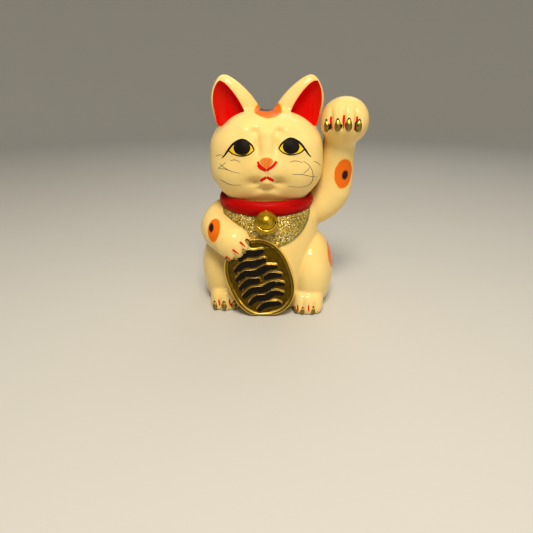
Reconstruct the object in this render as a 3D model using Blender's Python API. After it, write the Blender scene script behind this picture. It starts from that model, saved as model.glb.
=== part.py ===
"""Beckoning cat coin bank: a slip-cast, glazed figurine put together from separate castings.

The cat sits facing -Y with +Z up. Each casting is a closed solid with the luting gap between it and its
neighbour. The torso and head are hollow and open into each other at the neck, coins go in at the slot in
the back, and a rubber stopper closes the hole in the base.
Lengths in the tables below are millimetres; the helpers turn them into metres.
"""

import math

import bmesh
import bpy
from mathutils import Matrix, Vector

MM = 0.001
GAP = 0.3  # clearance between neighbouring castings

# Middle of the whole figure's outline, which becomes the origin; the face's own axis is X = 0 in the tables.
FIGURE_CENTRE = (12.1, -5.0, 0.0)

# The castings' wall, the base's thickness and the neck where torso and head meet
WALL = 5.0
FLOOR_Z = 7.0
SHOULDER_Z = 99.0
NECK_Z = 106.0
NECK_CENTRE_Y = -2.5
NECK_RADIUS = 34.0
NECK_BORE_RADIUS = 27.0

# A form is its centre, its half-sizes (x, front, back, up, down) and how square its outline is.
TRUNK = {"centre": (0, -2, 55), "half": (54, 54, 56, 76, 100), "square": (2.0, 2.0)}
LEFT_HAUNCH = {"centre": (43, -12, 34), "half": (25, 38, 44, 40, 44), "square": (2.1, 2.1)}
RIGHT_HAUNCH = {"centre": (-43, -3, 34), "half": (23.5, 38, 38, 40, 44), "square": (2.1, 2.1)}
HEAD = {"centre": (0, -3, 146), "half": (52.5, 45, 45, 40, 45), "square": (2.9, 2.8)}
LEFT_FOOT = {"centre": (41, -38, 9), "half": (15.5, 17, 20, 14, 13), "square": (2.8, 2.8)}
RIGHT_FOOT = {"centre": (-41, -30, 9), "half": (15.5, 17, 20, 14, 13), "square": (2.8, 2.8)}
RAISED_PAW = {"centre": (69.5, -16, 176.5), "half": (21.2, 22.5, 18, 19.5, 19.5), "square": (2.1, 2.1)}
RESTING_PAW = {"centre": (-31, -50.5, 73.5), "half": (16, 12, 15, 15, 14), "square": (2.1, 2.1)}

# Soft swellings and hollows of the face: centre, spread and push, mirrored where x is not 0
FACE_SWELLINGS = (
    ((0, -48, 134), (30, 30, 18), (0, -4.5, 0)),
    ((0, -50, 148), (8, 20, 8), (0, -2, 0)),
    ((22, -46, 157), (12, 20, 10), (0, -1, 0)),
    ((17, -46, 171), (11, 20, 7), (0, -1.5, 0)),
    ((38, -30, 134), (16, 22, 16), (2, -3, 0)),
    ((15, -46, 124), (9, 20, 6), (0, 2, 0)),
)

# Limbs run through stations of (x, y, z, radius)
RAISED_ARM = (
    (30, 2, 90, 15),
    (50, -1, 95, 17),
    (64, -3, 110, 17.5),
    (67, -5, 132, 16.5),
    (67, -8, 152, 15.5),
    (69, -12, 172, 15),
)
RESTING_ARM = (
    (-28, 0, 92, 15),
    (-42, -5, 87, 16.5),
    (-47, -20, 80, 17),
    (-40, -38, 77, 16.5),
    (-29, -49, 75, 14),
)
TAIL = (
    (4, 48, 10, 7.5),
    (20, 50, 9, 8),
    (34, 44, 10, 8),
    (45, 34, 18, 7.5),
    (46, 31, 30, 6.5),
)

# Ears: an upright blade, tapered and leaning outwards, hollowed in front
EAR = {"centre": (23.7, 2, 175), "half": (23.4, 9.5, 9.5, 40, 20), "square": (2.15, 2.1)}
EAR_SCOOP = {"centre": (30, -10, 182), "half": (14.5, 10, 10, 28, 12), "square": (2.0, 2.0)}
EAR_TAPER = 0.36
EAR_LEAN = 0.36
LEFT_EAR_SHIFT = 1.8  # the left ear stands a little further out than the right

# Collar, bib and bell
COLLAR_CENTRE = (0, -3, 105.3)
COLLAR_RING = (41.5, 44.5)
COLLAR_TUBE = (4.6, 6.6)
BIB_CENTRE_Z = 101
BIB_HALF = (42, 30)
BIB_THICKNESS = 1.5
BELL_CENTRE = (0.5, -58.5, 97.5)
BELL_RADIUS = 9.6
BELL_BAND = 1.2
BELL_TILT = math.radians(38)

# Koban: an oval plaque that stands on its edge, tilted towards the resting paw
KOBAN_CENTRE = (-5.7, -50.5, 40.4)
KOBAN_HALF = (40.4, 29.8)
KOBAN_TILT = math.radians(18.6)
KOBAN_FACE = 6.0
KOBAN_RIM = 7.6
KOBAN_RIM_WIDTH = 3.4
WAVE_HEIGHTS = (-28, -18.8, -9.6, -0.4, 8.6, 17.8, 27)
WAVE_RADIUS = 3.4

# Coin slot and stopper
SLOT_SIZE = (34, 4.8)
SLOT_Z = 88
STOPPER_HOLE_RADIUS = 17.0
STOPPER_RECESS = (22.0, 3.2)
STOPPER_TOP_Z = 12.0
STOPPER_BOTTOM_Z = 1.0
GRIP_BAR_WIDTH = 5.0
GRIP_POCKET = (8.0, 19.0, 6.0)

CERAMIC_WHITE = (0.86, 0.78, 0.62)
COLLAR_RED = (0.62, 0.01, 0.01)
BIB_GOLD = (0.42, 0.36, 0.18)
GOLD = (0.80, 0.55, 0.10)
KOBAN_GOLD = (0.30, 0.21, 0.04)
RUBBER_BLACK = (0.03, 0.03, 0.03)


def start():
    """Empties the scene and returns the parts' and the cutters' collections, and the figure's origin."""
    for obj in list(bpy.data.objects):
        bpy.data.objects.remove(obj)
    parts = bpy.data.collections.new("beckoning_cat")
    cutters = bpy.data.collections.new("cutters")
    for collection in (parts, cutters):
        bpy.context.scene.collection.children.link(collection)
    origin = bpy.data.objects.new("figure_origin", None)
    origin.location = -Vector(FIGURE_CENTRE) * MM
    parts.objects.link(origin)
    return parts, cutters, origin


PARTS, CUTTERS, ORIGIN = start()


def material(name, colour, roughness, metallic=0.0):
    made = bpy.data.materials.new(name)
    made.use_nodes = True
    shader = made.node_tree.nodes["Principled BSDF"]
    shader.inputs["Base Color"].default_value = (*colour, 1)
    shader.inputs["Roughness"].default_value = roughness
    shader.inputs["Metallic"].default_value = metallic
    return made


def add_object(name, mesh, finish=None):
    """A part if it has a finish; otherwise a helper that isn't rendered."""
    obj = bpy.data.objects.new(name, mesh)
    obj.parent = ORIGIN
    if finish:
        PARTS.objects.link(obj)
        mesh.materials.append(finish)
        mesh.shade_smooth()
        mesh.set_sharp_from_angle(angle=math.radians(40))
    else:
        CUTTERS.objects.link(obj)
        obj.hide_render = True
        obj.display_type = "WIRE"
    return obj


def mesh_from(bm, name):
    mesh = bpy.data.meshes.new(name)
    bm.to_mesh(mesh)
    bm.free()
    return mesh


def grow_mesh(bm, amount):
    """Moves every vertex out along its normal by an amount in millimetres."""
    bm.normal_update()
    moves = [(vertex, vertex.normal * amount * MM) for vertex in bm.verts]
    for vertex, move in moves:
        vertex.co += move


def form_bmesh(form, cells, swellings=(), shape=None, grow=0.0, mirrored=False):
    """A rounded form: a gridded cube thrown onto a superellipsoid, then pushed by soft swellings."""
    bm = bmesh.new()
    bmesh.ops.create_cube(bm, size=2)
    bmesh.ops.subdivide_edges(bm, edges=bm.edges, cuts=cells - 1, use_grid_fill=True)
    across, front, back, up, down = form["half"]
    flat, deep = form["square"]
    for vertex in bm.verts:
        # Equal angles between the grid's lines keep the cells alike
        way = Vector([math.tan(c * math.pi / 4) for c in vertex.co]).normalized()
        half = (across, front if way.y < 0 else back, up if way.z > 0 else down)
        outline = (abs(way.x) ** flat + abs(way.z) ** flat) ** (deep / flat)
        reach = (outline + abs(way.y) ** deep) ** (-1 / deep)
        vertex.co = [c + w * h * reach for c, w, h in zip(form["centre"], way, half)]
    for centre, spread, push in swellings:
        for side in (1, -1) if centre[0] else (1,):
            for vertex in bm.verts:
                away = [
                    (vertex.co.x - side * centre[0]) / spread[0],
                    (vertex.co.y - centre[1]) / spread[1],
                    (vertex.co.z - centre[2]) / spread[2],
                ]
                weight = math.exp(-sum(a * a for a in away))
                vertex.co += Vector((side * push[0], push[1], push[2])) * weight
    if shape:
        for vertex in bm.verts:
            vertex.co = shape(vertex.co)
    bm.transform(Matrix.Diagonal((-MM if mirrored else MM, MM, MM, 1)))
    if mirrored:
        bmesh.ops.reverse_faces(bm, faces=bm.faces)
    if grow:
        grow_mesh(bm, grow)
    return bm


def form(name, table, cells, finish=None, **options):
    return add_object(name, mesh_from(form_bmesh(table, cells, **options), name), finish)


def along(stations, share):
    """The point and radius at a share, from 0 to 1, of the way along a smooth line through the stations."""
    place = share * (len(stations) - 1)
    i = min(int(place), len(stations) - 2)
    t = place - i
    before = Vector(stations[max(i - 1, 0)])
    start, end = Vector(stations[i]), Vector(stations[i + 1])
    after = Vector(stations[min(i + 2, len(stations) - 1)])
    return (
        start
        + (end - before) * (t / 2)
        + (2 * before - 5 * start + 4 * end - after) * (t * t / 2)
        + (3 * start - before - 3 * end + after) * (t**3 / 2)
    )


def limb(name, stations, steps, sides, finish=None, grow=0.0, flatten=None):
    """A tube of changing radius with round ends, made from a bevelled curve and turned into a mesh."""
    stations = [Vector((*s[:3], s[3] + grow)) for s in stations]
    samples = [along(stations, i / steps) for i in range(steps + 1)]
    ends = []
    for tip, inner in ((samples[0], samples[1]), (samples[-1], samples[-2])):
        outward = (tip.xyz - inner.xyz).normalized()
        cap = [(0.5, 0.866), (0.85, 0.527), (1.0, 0.06)]
        ends.append([Vector((*(tip.xyz + outward * tip.w * reach), tip.w * share)) for reach, share in cap])
    samples = ends[0][::-1] + samples + ends[1]
    curve = bpy.data.curves.new(name, "CURVE")
    curve.dimensions = "3D"
    curve.bevel_depth = MM
    curve.bevel_resolution = max(sides // 2 - 2, 0)
    curve.use_fill_caps = True
    spline = curve.splines.new("POLY")
    spline.points.add(len(samples) - 1)
    for point, sample in zip(spline.points, samples):
        point.co = (*(sample.xyz * MM), 1)
        point.radius = sample.w
    guide = bpy.data.objects.new(name + "_curve", curve)
    CUTTERS.objects.link(guide)
    bpy.context.view_layer.update()
    graph = bpy.context.evaluated_depsgraph_get()
    mesh = bpy.data.meshes.new_from_object(guide.evaluated_get(graph))
    bpy.data.objects.remove(guide)
    bm = bmesh.new()
    bm.from_mesh(mesh)
    bmesh.ops.remove_doubles(bm, verts=bm.verts, dist=0.01 * MM)
    if flatten:
        bm.transform(flatten)
    bpy.data.meshes.remove(mesh)
    return add_object(name, mesh_from(bm, name), finish)


def turned(name, profile, steps, finish=None, place=None):
    """A solid turned about Z from a profile of (radius, height) that runs from its top to its bottom."""
    bm = bmesh.new()
    points = [bm.verts.new((radius * MM, 0, height * MM)) for radius, height in profile]
    for first, second in zip(points, points[1:]):
        bm.edges.new((first, second))
    bmesh.ops.spin(
        bm, geom=bm.verts[:] + bm.edges[:], axis=(0, 0, 1), cent=(0, 0, 0),
        angle=math.tau, steps=steps, use_merge=True, use_duplicate=False,
    )
    bmesh.ops.remove_doubles(bm, verts=bm.verts, dist=0.001 * MM)
    bmesh.ops.recalc_face_normals(bm, faces=bm.faces)
    if place:
        bm.transform(place)
    return add_object(name, mesh_from(bm, name), finish)


def block(name, low, high):
    """A box between two corners, for cutting with."""
    low, high = Vector(low) * MM, Vector(high) * MM
    bm = bmesh.new()
    bmesh.ops.create_cube(bm, size=1)
    bm.transform(Matrix.Translation((low + high) / 2) @ Matrix.Diagonal((*(high - low), 1)))
    return add_object(name, mesh_from(bm, name))


def boolean(obj, operation, *others):
    for other in others:
        modifier = obj.modifiers.new(f"{operation.lower()}_{other.name}", "BOOLEAN")
        modifier.operation = operation
        modifier.object = other
    return obj


def cut(obj, *cutters):
    return boolean(obj, "DIFFERENCE", *cutters)


def join(obj, *others):
    return boolean(obj, "UNION", *others)


def ear_shape(point):
    """Narrows an ear towards its tip and leans it outwards."""
    rise = (point.z - EAR["centre"][2]) / EAR["half"][3]
    width = 1 - EAR_TAPER * max(rise, 0) ** 3
    lean = EAR_LEAN * EAR["half"][3] * rise
    return Vector((EAR["centre"][0] + (point.x - EAR["centre"][0]) * width + lean, point.y, point.z))


def left_ear_shape(point):
    return ear_shape(point) + Vector((LEFT_EAR_SHIFT, 0, 0))


def on_koban(shift=(0, 0, 0)):
    """Places a shape drawn flat on the koban: X across it, Y up it and Z out of its face."""
    centre = Matrix.Translation(Vector(KOBAN_CENTRE) * MM)
    turn = Matrix.Rotation(math.radians(90), 4, "X") @ Matrix.Rotation(KOBAN_TILT, 4, "Z")
    return centre @ turn @ Matrix.Translation(Vector(shift) * MM)


def resting_arm_form(name, finish=None, grow=0.0):
    arm = limb(name, RESTING_ARM, 8, 12, finish, grow=grow)
    return join(arm, form(name + "_paw", RESTING_PAW, 6, grow=grow))


def collar_form(name, finish=None, grow=0.0):
    """A padded ring, oval in plan and in section."""
    across, along_y = COLLAR_RING
    thick, tall = (size + grow for size in COLLAR_TUBE)
    bpy.ops.mesh.primitive_torus_add(
        major_segments=44, minor_segments=10, major_radius=across * MM, minor_radius=thick * MM
    )
    ring = bpy.context.object
    mesh = ring.data
    bpy.data.objects.remove(ring)
    mesh.transform(Matrix.Diagonal((1, along_y / across, tall / thick, 1)))
    mesh.transform(Matrix.Translation(Vector(COLLAR_CENTRE) * MM))
    return add_object(name, mesh, finish)


def bib_form(name, finish=None, grow=0.0):
    """The layer of the trunk's front that lies inside the bib's round outline."""
    bib = form(name, TRUNK, 12, finish, grow=BIB_THICKNESS + GAP + grow)
    half_width, half_height = (size + grow for size in BIB_HALF)
    centre = Matrix.Translation(Vector((0, 0, BIB_CENTRE_Z)) * MM)
    facing = Matrix.Rotation(math.radians(90), 4, "X")
    oval = centre @ facing @ Matrix.Diagonal((1, half_height / half_width, 1, 1))
    profile = ((0, 90), (half_width, 90), (half_width, 12), (0, 12))
    outline = turned(name + "_outline", profile, 44, place=oval)
    return boolean(bib, "INTERSECT", outline)


def neck_cylinder(name, radius, top, bottom):
    centre = Matrix.Translation(Vector((0, NECK_CENTRE_Y, 0)) * MM)
    return turned(name, ((0, top), (radius, top), (radius, bottom), (0, bottom)), 40, place=centre)


def make_cutters():
    """Neighbours' outlines grown by the luting gap, and the two planes that trim the castings."""
    far = 200
    return {
        "below_base": block("below_base", (-far, -far, -far), (far, far, 0)),
        "above_neck": block("above_neck", (-far, -far, NECK_Z - GAP), (far, far, far)),
        "trunk": form("trunk_clearance", TRUNK, 12, grow=GAP),
        "left_haunch": form("left_haunch_clearance", LEFT_HAUNCH, 8, grow=GAP),
        "right_haunch": form("right_haunch_clearance", RIGHT_HAUNCH, 8, grow=GAP),
        "head": form("head_clearance", HEAD, 14, swellings=FACE_SWELLINGS, grow=GAP),
        "neck": neck_cylinder("neck_clearance", NECK_RADIUS + GAP, 124, 90),
        "left_ear": form("left_ear_clearance", EAR, 8, shape=left_ear_shape, grow=GAP),
        "collar": collar_form("collar_clearance", grow=GAP),
        "resting_arm": resting_arm_form("resting_arm_clearance", grow=GAP),
        "bib": bib_form("bib_clearance", grow=GAP),
    }


def make_torso(finish, tools):
    """The body and both haunches in one hollow casting, open at the neck, the coin slot and the base."""
    torso = form("torso_shell", TRUNK, 12, finish)
    join(torso, form("left_haunch_form", LEFT_HAUNCH, 8), form("right_haunch_form", RIGHT_HAUNCH, 8))
    cut(torso, tools["below_base"], tools["above_neck"])
    floor = block("below_floor", (-200, -200, -200), (200, 200, FLOOR_Z))
    shoulder = block("above_shoulder", (-200, -200, SHOULDER_Z), (200, 200, 200))
    for name, table, cells in (("trunk", TRUNK, 8), ("left", LEFT_HAUNCH, 6), ("right", RIGHT_HAUNCH, 6)):
        cut(torso, cut(form(name + "_hollow", table, cells, grow=-WALL), floor, shoulder))
    hole_radius = STOPPER_HOLE_RADIUS
    recess_radius, recess_depth = STOPPER_RECESS
    profile = (
        (0, 20),
        (hole_radius, 20),
        (hole_radius, recess_depth),
        (recess_radius, recess_depth),
        (recess_radius, -5),
        (0, -5),
    )
    hole = turned("stopper_hole", profile, 32)
    throat = neck_cylinder("neck_throat", NECK_BORE_RADIUS, NECK_Z + 5, SHOULDER_Z - 5)
    width, height = SLOT_SIZE
    slot = block("coin_slot", (-width / 2, 30, SLOT_Z - height / 2), (width / 2, 70, SLOT_Z + height / 2))
    return cut(torso, hole, throat, slot)


def make_head(finish, tools):
    """The head with its short neck, hollow and open downwards."""
    head = form("head_shell", HEAD, 14, finish, swellings=FACE_SWELLINGS)
    join(head, neck_cylinder("neck_form", NECK_RADIUS, 124, NECK_Z))
    below = block("below_neck", (-100, -100, 60), (100, 100, NECK_Z))
    bore = neck_cylinder("neck_bore", NECK_BORE_RADIUS, 130, 90)
    return cut(head, below, form("head_hollow", HEAD, 8, swellings=FACE_SWELLINGS, grow=-WALL), bore)


def make_ears(finish, tools):
    for mirrored, name in ((False, "left_ear"), (True, "right_ear")):
        shape = ear_shape if mirrored else left_ear_shape
        ear = form(name, EAR, 8, finish, shape=shape, mirrored=mirrored)
        scoop = form(name + "_scoop", EAR_SCOOP, 6, shape=shape, mirrored=mirrored)
        cut(ear, scoop, tools["head"])


def make_raised_arm(finish, tools):
    """The cat's left arm, from the shoulder round the elbow and up to the paw."""
    arm = limb("raised_arm", RAISED_ARM, 12, 14, finish)
    join(arm, form("raised_paw_form", RAISED_PAW, 8))
    return cut(arm, tools["trunk"], tools["head"], tools["left_ear"], tools["collar"], tools["neck"])


def make_resting_arm(finish, tools):
    arm = resting_arm_form("resting_arm", finish)
    return cut(arm, tools["trunk"], tools["right_haunch"], tools["collar"], tools["neck"])


def make_feet(finish, tools):
    for name, table in (("left_foot", LEFT_FOOT), ("right_foot", RIGHT_FOOT)):
        foot = form(name, table, 6, finish)
        cut(foot, tools["below_base"], tools["trunk"], tools[name.replace("foot", "haunch")])


def make_tail(finish, tools):
    tail = limb("tail", TAIL, 10, 10, finish)
    return cut(tail, tools["trunk"], tools["left_haunch"], tools["below_base"])


def make_collar(finish, tools):
    return cut(collar_form("collar", finish), tools["trunk"], tools["head"], tools["neck"])


def make_bib(finish, tools):
    bib = cut(bib_form("bib", finish), tools["trunk"], tools["collar"])
    return cut(bib, tools["resting_arm"], tools["above_neck"])


def make_bell(finish, tools):
    """A round bell with a band about its middle and a slot across its lower half, lying on the bib."""
    profile = []
    for i in range(9):
        angle = math.pi * i / 8
        profile.append((BELL_RADIUS * math.sin(angle), BELL_RADIUS * math.cos(angle)))
    outer = BELL_RADIUS + BELL_BAND
    profile[4:5] = [
        (BELL_RADIUS, BELL_BAND),
        (outer, BELL_BAND / 2),
        (outer, -BELL_BAND / 2),
        (BELL_RADIUS, -BELL_BAND),
    ]
    place = Matrix.Translation(Vector(BELL_CENTRE) * MM) @ Matrix.Rotation(BELL_TILT, 4, "X")
    bell = turned("bell", profile, 20, finish, place=place)
    slot = block("bell_slot", (-5.5, -0.8, -12), (5.5, 0.8, -5))
    slot.data.transform(place)
    return cut(bell, slot, tools["bib"], tools["collar"])


def make_koban(finish, tools):
    """An oval plaque with a raised rim and a pattern of raised waves."""
    half_tall, half_wide = KOBAN_HALF
    inner = half_tall - KOBAN_RIM_WIDTH
    profile = (
        (0, KOBAN_FACE),
        (inner, KOBAN_FACE),
        (inner + 0.8, KOBAN_RIM),
        (half_tall - 1, KOBAN_RIM),
        (half_tall, KOBAN_RIM - 1.2),
        (half_tall, 0.8),
        (half_tall - 0.8, 0),
        (0, 0),
    )
    oval = Matrix.Diagonal((half_wide / half_tall, 1, 1, 1))
    koban = turned("koban", profile, 44, finish, place=on_koban() @ oval)
    for number, height in enumerate(WAVE_HEIGHTS):
        reach = 0.74 * half_wide * math.sqrt(1 - (height / half_tall) ** 2)
        stations = [(reach * (i / 2 - 1), height + 1.6 * (-1) ** i, 0, WAVE_RADIUS) for i in range(5)]
        raised = on_koban((0, 0, KOBAN_FACE - 0.4)) @ Matrix.Diagonal((1, 1, 0.6, 1))
        join(koban, limb(f"wave_{number}", stations, 6, 6, flatten=raised))
    cut(koban, tools["bib"], tools["trunk"], tools["resting_arm"])
    return cut(koban, tools["left_haunch"], tools["right_haunch"])


def make_stopper(finish):
    """A rubber plug with a flange, and a grip bar left between two pockets in its underside."""
    flange = STOPPER_RECESS[0] - 1.5
    flange_top = STOPPER_RECESS[1] - GAP
    plug = STOPPER_HOLE_RADIUS - GAP
    profile = (
        (0, STOPPER_TOP_Z),
        (plug - 1.5, STOPPER_TOP_Z),
        (plug, STOPPER_TOP_Z - 2),
        (plug, flange_top),
        (flange, flange_top),
        (flange, STOPPER_BOTTOM_Z + 0.8),
        (flange - 0.8, STOPPER_BOTTOM_Z),
        (0, STOPPER_BOTTOM_Z),
    )
    stopper = turned("base_stopper", profile, 32, finish)
    inner = GRIP_BAR_WIDTH / 2
    width, length, depth = GRIP_POCKET
    for side in (1, -1):
        near, far = sorted((side * inner, side * (inner + width)))
        low = (near, -length / 2, -5)
        high = (far, length / 2, STOPPER_BOTTOM_Z + depth)
        cut(stopper, block(f"grip_pocket_{side}", low, high))
    return stopper


def main():
    glaze = material("white_glaze", CERAMIC_WHITE, 0.12)
    tools = make_cutters()
    make_torso(glaze, tools)
    make_head(glaze, tools)
    make_ears(glaze, tools)
    make_raised_arm(glaze, tools)
    make_resting_arm(glaze, tools)
    make_feet(glaze, tools)
    make_tail(glaze, tools)
    make_collar(material("red_enamel", COLLAR_RED, 0.25), tools)
    make_bib(material("gold_grit", BIB_GOLD, 0.5, 0.4), tools)
    make_bell(material("gold_lustre", GOLD, 0.2, 0.9), tools)
    make_koban(material("old_gold", KOBAN_GOLD, 0.35, 0.6), tools)
    make_stopper(material("black_rubber", RUBBER_BLACK, 0.7))


main()
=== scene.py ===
"""Beckoning cat coin bank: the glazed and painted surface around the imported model.

Tables hold millimetres in the figure's own axes: X = 0 is the face's axis, -Y the front and Z = 0 the base.
A glazed casting is a recipe of rounded forms, softly joined as signed distances, which becomes a mesh; the
castings are then parted from each other where the real ones are luted together, under one run of glaze.
Enamel (eyes, whiskers, claws and strokes) is thin raised paint that follows the surface under it.
"""

import math
from collections import namedtuple

import bmesh
import bpy
import numpy as np
import openvdb
from mathutils import Matrix, Vector
from mathutils.bvhtree import BVHTree


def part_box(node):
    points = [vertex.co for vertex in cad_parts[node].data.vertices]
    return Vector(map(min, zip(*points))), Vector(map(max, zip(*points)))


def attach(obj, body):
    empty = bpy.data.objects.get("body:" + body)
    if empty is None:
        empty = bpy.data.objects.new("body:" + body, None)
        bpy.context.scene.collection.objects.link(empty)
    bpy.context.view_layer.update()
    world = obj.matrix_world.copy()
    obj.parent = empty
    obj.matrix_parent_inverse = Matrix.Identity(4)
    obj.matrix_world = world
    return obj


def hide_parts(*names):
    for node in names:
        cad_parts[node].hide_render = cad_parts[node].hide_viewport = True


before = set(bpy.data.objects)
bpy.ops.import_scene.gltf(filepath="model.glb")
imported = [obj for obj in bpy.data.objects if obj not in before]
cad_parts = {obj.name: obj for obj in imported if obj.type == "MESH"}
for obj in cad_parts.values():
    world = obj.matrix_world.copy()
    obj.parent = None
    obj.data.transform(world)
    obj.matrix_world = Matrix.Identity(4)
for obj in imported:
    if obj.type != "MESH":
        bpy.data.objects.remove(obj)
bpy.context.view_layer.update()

MM = 0.001
FAR = 12.0  # distances are only kept this close to a surface, in millimetres
TINY = 1e-5

# --- The forms -------------------------------------------------------------------------------------------

# Each is a centre, half-sizes (across, front, back, up, down) and how square its outline and its depth are
TRUNK = {"centre": (0, -2, 55), "half": (54, 54, 56, 76, 100)}
LEFT_HAUNCH = {"centre": (43, -12, 34), "half": (25, 38, 44, 40, 44), "square": (2.1, 2.1)}
RIGHT_HAUNCH = {"centre": (-43, -3, 34), "half": (23.5, 38, 38, 40, 44), "square": (2.1, 2.1)}
HEAD = {"centre": (0, -3, 146), "half": (52.5, 45, 45, 40, 45), "square": (2.9, 2.8)}
LEFT_FOOT = {"centre": (41, -38, 9), "half": (15.5, 17, 20, 14, 13), "square": (2.8, 2.8)}
RIGHT_FOOT = {"centre": (-41, -30, 9), "half": (15.5, 17, 20, 14, 13), "square": (2.8, 2.8)}
RAISED_PAW = {"centre": (69.5, -16, 176.5), "half": (21.2, 22.5, 18, 21.2, 19.5), "square": (2.1, 2.1)}
RESTING_PAW = {"centre": (-31, -50.5, 73.5), "half": (16, 12, 15, 15, 14), "square": (2.1, 2.1)}
EAR = {"centre": (23.7, 2, 175), "half": (23.4, 9.5, 9.5, 40, 20), "square": (2.15, 2.1)}
EAR_SCOOP = {"centre": (31, -10, 182), "half": (14.5, 10, 10, 28, 19)}
EAR_TAPER = 0.36
EAR_LEAN = 0.36
LEFT_EAR_SHIFT = 1.8  # the left ear stands a little further out than the right

# Limbs run through stations of (x, y, z, radius)
RAISED_ARM = (
    (30, 2, 90, 15),
    (50, -1, 95, 17),
    (64, -3, 110, 17.5),
    (67, -5, 132, 16.5),
    (67, -8, 152, 15.5),
    (69, -12, 172, 15),
)
RESTING_ARM = (
    (-28, 0, 92, 15),
    (-42, -5, 87, 16.5),
    (-47, -20, 80, 17),
    (-40, -38, 77, 16.5),
    (-29, -49, 75, 14),
)
TAIL = (
    (4, 48, 10, 7.5),
    (20, 50, 9, 8),
    (34, 44, 10, 8),
    (45, 34, 18, 7.5),
    (46, 31, 30, 6.5),
)

# The face's swellings and dents: centre, spread and height, mirrored where x is not 0
FACE = (
    ((0, -48, 139), (23, 30, 12), 4.5),  # muzzle
    ((36, -32, 134), (17, 24, 15), 2.2),  # cheeks
    ((43, -10, 116), (12, 40, 11), -2.2),  # sides of the jaw
    ((18, -46, 173), (7, 20, 5.0), 1.7),  # brows
    ((0, -46, 169), (5, 20, 3.5), 1.6),  # fold between them
    ((0, -48, 158), (5.0, 20, 12), 2.6),  # bridge of the nose
    ((7.8, -47, 161), (2.6, 20, 8), -3.2),  # its two sides
    ((10.2, -47, 170.5), (3.2, 20, 3.0), -2.6),  # where they run out under the brows
    ((22, -46, 157), (10, 20, 7.5), 2.0),  # eyes
    ((0, -52, 146.5), (5.5, 18, 4.5), 2.8),  # nose
    ((7.5, -50, 145), (3.2, 18, 3.2), 0.6),  # wings of the nose
    ((0, -52, 137), (1.8, 18, 3.5), -1.0),  # split of the lip
    ((9.4, -48, 130), (4.1, 18, 3.0), -4.4),  # corners of the mouth
    ((14, -48, 128), (5, 18, 3.6), -1.3),  # their outer ends
    ((0, -50, 128.5), (5.5, 18, 2.6), 1.8),  # lower lip
    ((0, -48, 123.5), (7, 18, 2.2), -2.0),  # under the lip
    ((0, -48, 118), (8, 18, 3.4), 1.2),  # chin
    ((9, -46, 116), (5, 18, 4), 1.0),  # its two sides
)

# How deep the head is pressed in before the right and the left ear
TEMPLES = ((-42, 4.0), (43, 2.0))

WALL = 5.0
FLOOR_Z = 7.0
SHOULDER_Z = 99.0
NECK_Z = 106.0
NECK_CENTRE_Y = -2.5
NECK_BORE_RADIUS = 27

# X = 0 is the head's middle, Y = 0 lies behind the trunk's front, and Z = 0 is the torso's base
head_low, head_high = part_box("head_shell")
torso_low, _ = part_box("torso_shell")
ORIGIN = Vector(
    (
        (head_low.x + head_high.x) / 2,
        torso_low.y + (TRUNK["half"][1] - TRUNK["centre"][1]) * MM,
        torso_low.z,
    )
)

Form = namedtuple("Form", "distance low high")
EVERYWHERE = (Vector((-1e3,) * 3), Vector((1e3,) * 3))


# --- Signed distances -------------------------------------------------------------------------------------


def blob(centre, half, square=(2, 2), grow=0.0):
    """A rounded form with its own half-size towards each side."""
    across, front, back, up, down = half
    flat, deep = square

    def distance(x, y, z):
        x, y, z = x - centre[0], y - centre[1], z - centre[2]
        depth = np.where(y < 0, front, back)
        height = np.where(z > 0, up, down)
        a, b, c = (np.abs(v) / size + TINY for v, size in ((x, across), (y, depth), (z, height)))
        outline = a**flat + c**flat
        level = (outline ** (deep / flat) + b**deep) ** (1 / deep)
        steep = outline ** (deep / flat - 1)
        slope = (steep * a ** (flat - 1) / across) ** 2 + (steep * c ** (flat - 1) / height) ** 2
        slope = np.sqrt(slope + (b ** (deep - 1) / depth) ** 2)
        return (level - 1) * level ** (deep - 1) / slope - grow

    low = Vector(centre) - Vector((across, front, down)) - Vector((grow,) * 3)
    high = Vector(centre) + Vector((across, back, up)) + Vector((grow,) * 3)
    return Form(distance, low, high)


def along(stations, share):
    """The point and radius at a share, from 0 to 1, of the way along a smooth line through the stations."""
    place = share * (len(stations) - 1)
    i = min(int(place), len(stations) - 2)
    t = place - i
    before = Vector(stations[max(i - 1, 0)])
    start, end = Vector(stations[i]), Vector(stations[i + 1])
    after = Vector(stations[min(i + 2, len(stations) - 1)])
    return (
        start
        + (end - before) * (t / 2)
        + (2 * before - 5 * start + 4 * end - after) * (t * t / 2)
        + (3 * start - before - 3 * end + after) * (t**3 / 2)
    )


def limb(stations, steps=14, grow=0.0):
    """A round limb of changing radius along a smooth line."""
    line = [along(stations, i / steps) for i in range(steps + 1)]

    def distance(x, y, z):
        nearest = FAR
        for start, end in zip(line, line[1:]):
            run = end.xyz - start.xyz
            share = (x - start.x) * run.x + (y - start.y) * run.y + (z - start.z) * run.z
            share = np.clip(share / run.length_squared, 0, 1)
            away = (x - start.x - share * run.x) ** 2
            away = away + (y - start.y - share * run.y) ** 2 + (z - start.z - share * run.z) ** 2
            nearest = np.minimum(nearest, np.sqrt(away) - start.w - share * (end.w - start.w))
        return nearest - grow

    points = np.array(line)
    reach = points[:, 3:] + grow
    return Form(distance, Vector((points[:, :3] - reach).min(0)), Vector((points[:, :3] + reach).max(0)))


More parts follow.
